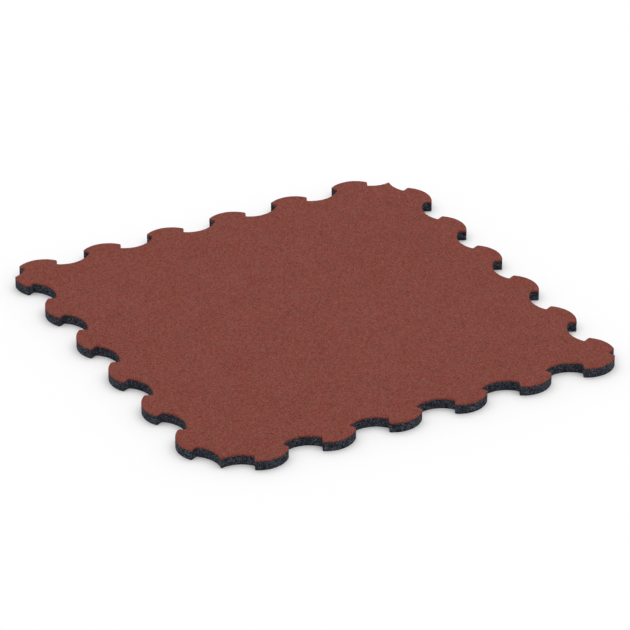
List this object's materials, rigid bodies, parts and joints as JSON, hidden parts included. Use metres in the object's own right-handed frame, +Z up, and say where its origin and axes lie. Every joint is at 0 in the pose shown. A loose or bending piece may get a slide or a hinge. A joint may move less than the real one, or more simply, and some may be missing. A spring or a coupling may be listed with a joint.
{
  "type": "interlocking stall mat",
  "caption": "Flat square rubber floor mat with round puzzle tabs and recesses along all four edges, a coloured wear layer bonded over a thicker black base layer.",
  "frame": {"origin": "centre of the underside of the mat, at the centre of its bounding box", "axes": "+Z up, square to the mat, from the underside to the coloured wear face; +X and +Y along the straight lines on which the edges are laid"},
  "size_m": [1, 1, 0.025],
  "materials": {
    "wear_rubber": "matte bonded rubber granules, red-brown",
    "base_rubber": "matte bonded rubber granules, black with blue-grey specks"
  },
  "bodies": {
    "root": {"wear_layer": "wear_rubber", "base_layer": "base_rubber"}
  },
  "joints": []
}
